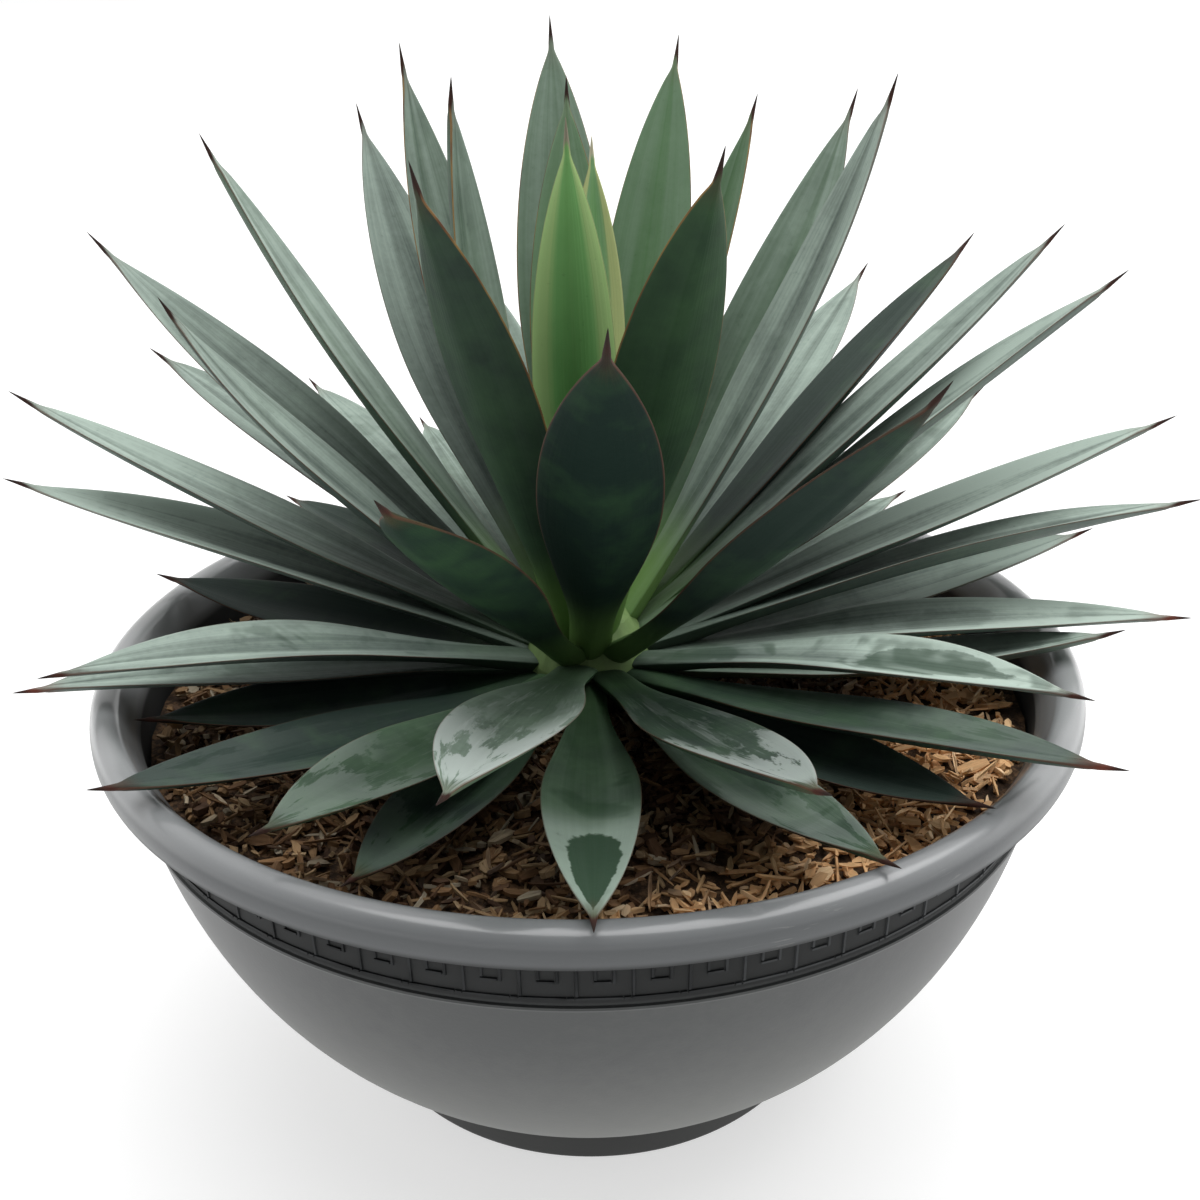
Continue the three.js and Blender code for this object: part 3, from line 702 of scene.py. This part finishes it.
def leaf_skin():
    """Tough leaf skin under a waxy coat: lengthwise bands and fine streaks, rubbed and silvered places, a
    fresh green root, a thin gold and red margin, and a dark spine. Painted light and shade lie in it too:
    the coat is painted thinner on undersides, towards the root and on shaded leaves, and paler towards the
    margins and tip as painted sheen."""
    f = Finish("leaf skin", {"Specular IOR Level": 0.11})
    across, along, upper = f.parts(f.field("blade"))
    bloom_light_and_shade, green, seed = f.parts(f.field("habit"))
    rubbed, silver, red = f.parts(f.field("marks"))
    young, gold, cream = f.parts(f.field("growth"))
    blotched, blotch_at = f.parts(f.field("spots"))[:2]
    place = f.place()
    edge = f.size_of(across)
    top_side = f.smooth(upper, -0.2, 0.2)
    streak_place = f.vector(across * 3.1 + seed * 37, along * 0.7, seed * 91 + top_side * 3)
    bands = f.noise(streak_place, 1.0, 2.0, 0.55)
    fine_place = f.vector(across * 17 + seed * 53, along * 1.6, seed * 17 + top_side * 5)
    streaks = f.noise(fine_place, 1.0, 3.0, 0.6)
    mottle = f.noise(place, 42, 4.0, 0.6)
    fine = f.noise(place, 420, 3.0, 0.6)
    # Painted sheen: the coat is painted paler towards the margins and towards the tip, standing in for light
    # glancing off the channel's sides and the outer end, with random bands over it
    painted_sheen_edge = f.smooth(edge + (bands - 0.5) * 0.5 + f.smooth(along, 0.35, 0.95) * 0.35, 0.36, 0.62)
    # The per-leaf amount of waxy coat is also painted light and shade: low on leaves in shade, above 1 on
    # leaves painted brighter
    cover = bloom_light_and_shade * (0.62 + painted_sheen_edge * 0.3 + (bands - 0.5) * 0.95 + (streaks - 0.5) * 0.5)
    cover = cover + bloom_light_and_shade * ((mottle - 0.5) * 0.6 + (fine - 0.5) * 0.3)
    # Painted shade: the coat is painted thinner on undersides and towards the root, where the rosette's
    # middle is shaded
    cover = cover * (0.3 + top_side * 0.7) * (0.5 + f.smooth(along, 0.12, 0.72) * 0.55)
    patch = f.noise(f.moved(place, (0.31, 0.17, 0.05)), 26, 3.0, 0.55, 0.8)
    bare = rubbed * f.smooth(patch, 0.52, 0.6) * f.smooth(edge, 0.95, 0.7)
    scuff = f.noise(f.vector(across * 2.2 + seed * 11, along * 6, seed * 29), 1.0, 5.0, 0.62, 0.3)
    wisp = f.noise(f.vector(across * 7 + seed * 23, along * 5, seed * 31), 1.0, 4.0, 0.65)
    outer = f.smooth(along + (edge - 0.5) * 0.15, 0.5, 0.72) * f.smooth(along, 0.95, 0.88)
    scuffed = f.smooth(scuff + outer * 0.12, 0.52, 0.58) * (0.15 + outer * 0.85)
    scuffed = f.clamped(scuffed + f.smooth(wisp, 0.56, 0.66) * 0.3)
    scuffed = scuffed * silver * top_side * f.smooth(along, 0.1, 0.3)
    ragged = (mottle - 0.5) * 2.4 + (fine - 0.5) * 0.4
    lengthwise = (along - blotch_at) * 6.5
    middle = f.smooth(lengthwise * lengthwise + edge * edge * 1.9 + ragged, 1.05, 0.85) * blotched * top_side
    around = f.smooth(lengthwise, -1.5, -0.7) * f.smooth(along, 0.97, 0.9) * blotched
    around = around * top_side * (1 - middle)
    fresh = f.smooth(along, 0.26, 0.05) * young
    # Painted shade: older leaves are painted darker towards the root, in the rosette's shaded middle
    shaded_root = f.smooth(along, 0.36, 0.06) * (1 - young)
    tissue = f.mixed(f.clamped(green + (mottle - 0.5) * 0.3), TISSUE, YOUNG_GREEN)
    tissue = f.mixed(fresh * 0.8, tissue, BASE_GREEN)
    cover = cover * (1 - fresh * 0.75) * (1 - shaded_root * 0.4) * (1 - bare * 0.85)
    cover = f.clamped(cover + around * 0.45)
    colour = f.mixed(cover, tissue, BLOOM)
    colour = f.mixed(bare * 0.75, colour, RUBBED)
    colour = f.mixed(scuffed * 0.75, colour, SILVER)
    colour = f.mixed(middle * 0.85, colour, RUBBED)
    stripe = f.smooth(edge + (bands - 0.5) * 0.4, 0.45, 0.7)
    colour = f.mixed(cream * (stripe * 0.85 + (streaks - 0.5) * 0.5), colour, CREAM)
    colour = f.mixed(f.smooth(fine, 0.35, 0.2) * 0.25, colour, PITS)
    near_tip = f.smooth(along, 0.8, 0.93)
    rim_line = f.smooth(edge + near_tip * 0.03 + (streaks - 0.5) * 0.012, 0.972, 0.988)
    rim_line = rim_line * f.smooth(along, 0.1, 0.3)
    rim_colour = f.mixed(gold * f.smooth(f.noise(place, 60, 2.0), 0.35, 0.6), MARGIN_RED, MARGIN_GOLD)
    colour = f.mixed(rim_line * (0.45 + gold * 0.4), colour, rim_colour)
    dry = f.smooth(along + (streaks - 0.5) * 0.05, 0.89, 0.955) * (0.12 + red * 0.5) * (1 - cream)
    colour = f.mixed(dry, colour, SPINE_RED)
    ragged_end = (streaks - 0.5) * 0.012 + f.smooth(edge, 0.5, 1.0) * near_tip * 0.012
    spine = f.smooth(along + ragged_end, 0.948, 0.966)
    spine_colour = f.mixed(red * f.smooth(along, 0.985, 0.955), SPINE_DARK, SPINE_RED)
    spine_colour = f.mixed(cream, spine_colour, SPINE_CREAM)
    colour = f.mixed(spine, colour, spine_colour)
    f.feed("Base Color", colour)
    f.feed("Roughness", 0.58 + cover * 0.08 + (mottle - 0.5) * 0.16 - scuffed * 0.1)
    f.relief(streaks * 0.6 + fine * 0.25 + bands * 0.8, 0.35, 0.0006)
    return f.material


def bowl_plastic():
    """Moulded charcoal plastic, satin, painted paler low on the walls as painted bounce light from the
    floor, with painted shade darkening the band under the rim and the foot, a paler rim with a painted
    highlight on its crest and painted light on its left and right ends, and fine scuffs at the right."""
    f = Finish("bowl plastic", {"Specular IOR Level": 0.5, "Coat Roughness": 0.18})
    place = f.place()
    x, y, z = f.parts(place)
    cloud = f.noise(place, 9, 4.0, 0.55)
    speck = f.noise(place, 900, 2.0, 0.6)
    grit = f.noise(place, 160, 4.0, 0.65)
    scratch = f.noise(f.stretched(place, (60, 60, 900)), 1.0, 3.0, 0.6, 1.2)
    on_rim = f.smooth(z, (RIM_UNDERSIDE - 2.3) * MM, (RIM_UNDERSIDE + 1.2) * MM)
    crest = f.smooth(z, (RIM_HEIGHT - 5) * MM, (RIM_HEIGHT - 1.5) * MM)
    scuff = f.smooth(scratch, 0.58, 0.68) * f.smooth(cloud, 0.42, 0.56) * f.smooth(x, 0.02, 0.1) * on_rim
    # Painted bounce light: the wall is painted paler towards the bottom, where light from the floor falls on
    # it, with random cloudy and gritty tone over it
    low = f.smooth(z, 0.13, 0.012)
    bounce_and_mottle = f.clamped(low * 0.75 + (cloud - 0.5) * 0.45 + (grit - 0.5) * 0.25)
    # Painted shade: the foot under the belly is painted near black, standing in for its shadow
    shaded_foot = f.smooth(z, (FOOT_HEIGHT + 0.5) * MM, (FOOT_HEIGHT - 0.5) * MM)
    # Painted shade: the band under the rim's overhang and the rim's underside are painted near black and
    # rougher, standing in for the rim's shadow
    shaded_band = f.smooth(z, (BAND_FOOT_HEIGHT - 0.5) * MM, (BAND_FOOT_HEIGHT + 1.5) * MM)
    shaded_band = shaded_band * f.smooth(z, (RIM_UNDERSIDE + 3.2) * MM, (RIM_UNDERSIDE + 0.2) * MM)
    colour = f.mixed(bounce_and_mottle, CHARCOAL, BOUNCE_GREY)
    colour = f.mixed(on_rim * 0.8, colour, RIM_GREY)
    # Painted highlight: the crest is painted paler, on top of its real glossy coat
    colour = f.mixed(crest * 0.6, colour, CREST_HIGHLIGHT)
    colour = f.mixed(shaded_foot * 0.9, colour, FOOT_SHADE)
    colour = f.mixed(shaded_band * 0.95, colour, BAND_SHADE)
    # Painted light: the rim's left and right ends are painted paler, standing in for light from the sides
    colour = f.mixed(on_rim * (f.size_of(x) * 8 - 0.9), colour, RIM_SIDE_LIGHT)
    colour = f.mixed(scuff * 0.5, colour, SCUFF_PALE)
    f.feed("Base Color", colour)
    f.feed("Roughness", 0.4 + (cloud - 0.5) * 0.2 + bounce_and_mottle * 0.15 + scuff * 0.2 + shaded_band * 0.4)
    f.feed("Coat Weight", crest * (1 - scuff))
    f.relief(speck * 0.5 + grit * 0.3 - scuff * 0.4, 0.18, 0.0004)
    return f.material


def key_plastic():
    """The key pattern's own finish: nearly black as painted shade of the band's recess, a little lighter at
    places of wear, and lighter at the right as painted light.
    """
    f = Finish("key plastic", {"Specular IOR Level": 0.12})
    place = f.place()
    wear = f.noise(place, 40, 4.0, 0.6)
    # Paler on random wear, and paler towards the right as painted light
    worn_and_lit = f.smooth(wear, 0.45, 0.65) * 0.5 + f.smooth(f.parts(place)[0], -0.02, 0.12)
    f.feed("Base Color", f.mixed(worn_and_lit, KEY_SHADE, KEY_WORN_AND_LIT))
    f.feed("Roughness", 0.5 + (wear - 0.5) * 0.3)
    return f.material


def bark():
    """Bark chips: tan, orange-brown, dark brown and cream, each with its grain along it; painted light makes
    them paler near the bowl's wall, most of all at the right, and painted shade makes them darker towards
    the middle under the leaves."""
    f = Finish("bark chips", {"Specular IOR Level": 0.25})
    pick, shade, age = f.parts(f.field("tint"))
    place = f.place()
    x, y = f.parts(place)[:2]
    grain = f.noise(f.stretched(f.field("grain"), (0.12, 0.9, 0.9)), 1.0, 4.0, 0.65)
    blotch = f.noise(place, 120, 3.0)
    # Painted light and shade: chips are painted paler near the wall, most at the right, and darker towards
    # the middle, where the leaves shade them
    dry = f.smooth(x * x + y * y + x * 0.09 + (blotch - 0.5) * 0.01, 0.0165, 0.0245)
    colour = f.ramp(pick, BARK_RAMP)
    colour = f.mixed(f.smooth(grain, 0.45, 0.65) * 0.4, colour, BARK_GRAIN)
    colour = f.mixed(f.smooth(age, 0.8, 1.0) * 0.5, colour, BARK_AGED)
    colour = f.mixed((1 - shade) * 0.2 * f.smooth(blotch, 0.3, 0.6), colour, BARK_SHADE)
    colour = f.mixed(dry * 0.5, colour, BARK_PAINTED_LIGHT)
    colour = f.mixed((1 - dry) * 0.6, colour, BARK_PAINTED_SHADE)
    f.feed("Base Color", colour)
    f.feed("Roughness", 0.72 + (grain - 0.5) * 0.3)
    f.relief(grain, 0.5, 0.0008)
    return f.material


def mulch_bed():
    """The fine dark crumbs under the loose chips."""
    f = Finish("mulch bed", {"Specular IOR Level": 0.2})
    place = f.place()
    crumbs = f.noise(place, 260, 5.0, 0.7)
    clods = f.noise(place, 70, 3.0, 0.6)
    colour = f.mixed(f.smooth(crumbs, 0.4, 0.7), CRUMB_DARK, CRUMB_PALE)
    colour = f.mixed(f.smooth(clods, 0.45, 0.6) * 0.5, colour, CRUMB_DARK)
    f.feed("Base Color", colour)
    f.feed("Roughness", 0.85 + (crumbs - 0.5) * 0.2)
    f.relief(crumbs + clods * 0.6, 0.8, 0.002)
    return f.material


def stem_tissue():
    """The stump between the leaves: pale green, browned towards the mulch."""
    f = Finish("stem tissue", {"Specular IOR Level": 0.4})
    place = f.place()
    height = f.parts(place)[2]
    fibres = f.noise(f.stretched(place, (300, 300, 40)), 1.0, 4.0, 0.6)
    blotch = f.noise(place, 60, 3.0)
    brown = f.clamped(f.smooth(height, 0.165, 0.148) + (blotch - 0.5) * 0.6)
    colour = f.mixed(brown, f.mixed(fibres, STEM_GREEN, STEM_PALE), STEM_BROWN)
    f.feed("Base Color", colour)
    f.feed("Roughness", 0.5 + fibres * 0.2)
    f.relief(fibres, 0.4, 0.001)
    return f.material


# Studio
def paper():
    """Plain pale studio floor."""
    f = Finish("studio floor", {
        "Base Color": (0.5, 0.5, 0.5, 1), "Roughness": 0.9, "Specular IOR Level": 0.1,
        "Emission Color": (1, 1, 1, 1), "Emission Strength": 0.6,
    })
    return f.material


def studio():
    """A wide level floor, a sky that looks white and gives less light from the front, and one broad soft
    lamp above and behind."""
    scene = bpy.context.scene
    scene.view_settings.view_transform = "Standard"
    turn = 2 * np.pi * np.arange(FLOOR_SIDES) / FLOOR_SIDES
    level = np.full(FLOOR_SIDES, -FLOOR_GAP)
    ring = np.stack([np.cos(turn) * FLOOR_REACH, np.sin(turn) * FLOOR_REACH, level], -1)
    floor = mesh_piece("studio_floor", ring, np.arange(FLOOR_SIDES), [FLOOR_SIDES], smooth=False)
    floor.data.materials.append(paper())
    world = bpy.data.worlds.new("studio sky")
    scene.world = world
    world.use_nodes = True
    sky = Bench(world.node_tree)
    x, y = sky.parts(sky.tap(sky.node("ShaderNodeTexCoord"), "Generated"))[:2]
    strength = 0.1 + sky.smooth(y + sky.size_of(x) * 0.8, -0.3, 1.0) * 0.95
    strength = strength + sky.smooth(x, 0.0, 1.0) * 0.2
    seen = sky.tap(sky.node("ShaderNodeLightPath"), "Is Camera Ray")
    strength = strength * (1 - seen) + seen
    light = sky.node("ShaderNodeBackground", None, {"Color": (1, 1, 1, 1), "Strength": strength})
    output = sky.node("ShaderNodeOutputWorld")
    world.node_tree.links.new(light.outputs[0], output.inputs["Surface"])
    lamp = bpy.data.lights.new("softbox", "SUN")
    lamp.energy = LAMP_STRENGTH
    lamp.angle = math.radians(LAMP_SPREAD_DEGREES)
    holder = bpy.data.objects.new("softbox", lamp)
    holder.rotation_mode = "QUATERNION"
    holder.rotation_quaternion = Vector(LAMP_HEADING).to_track_quat("-Z", "Y")
    scene.collection.objects.link(holder)


def camera():
    """The camera at the photograph's place, turned by pitch and yaw and then rolled about its own axis."""
    pitch, yaw, roll = (math.radians(angle) for angle in (PITCH, YAW, ROLL))
    ahead = np.array([math.sin(yaw) * math.cos(pitch), math.cos(yaw) * math.cos(pitch), -math.sin(pitch)])
    right = np.array([math.cos(yaw), -math.sin(yaw), 0])
    up = np.cross(right, ahead)
    across = math.cos(roll) * right + math.sin(roll) * up
    upward = -math.sin(roll) * right + math.cos(roll) * up
    data = bpy.data.cameras.new("camera")
    data.lens = LENS
    data.sensor_width = SENSOR
    data.clip_start = 0.01
    data.clip_end = 100
    holder = bpy.data.objects.new("camera", data)
    axes = np.stack([across, upward, -ahead], 1)
    matrix = Matrix([[*axes[k], EYE[k] * MM] for k in range(3)] + [[0, 0, 0, 1]])
    bpy.context.scene.collection.objects.link(holder)
    holder.matrix_world = matrix
    bpy.context.scene.camera = holder


camera()
studio()

plastic = bowl_plastic()
bowl = drilled(turned("bowl", bowl_profile(), BOWL_SIDES))
bowl.data.set_sharp_from_angle(angle=math.radians(SHARP_FROM_DEGREES))
finish_piece(bowl, plastic, ["pot"])
finish_piece(key_band(), key_plastic())

chip_bark = bark()
for heap in HEAPS:
    finish_piece(chips(*heap), chip_bark)

for node, material in (("soil", mulch_bed()), ("stem", stem_tissue())):
    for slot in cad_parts[node].material_slots:
        slot.material = material

skin = leaf_skin()
for number, leaf in enumerate(LEAVES, 1):
    leaf_piece(number, leaf, skin)
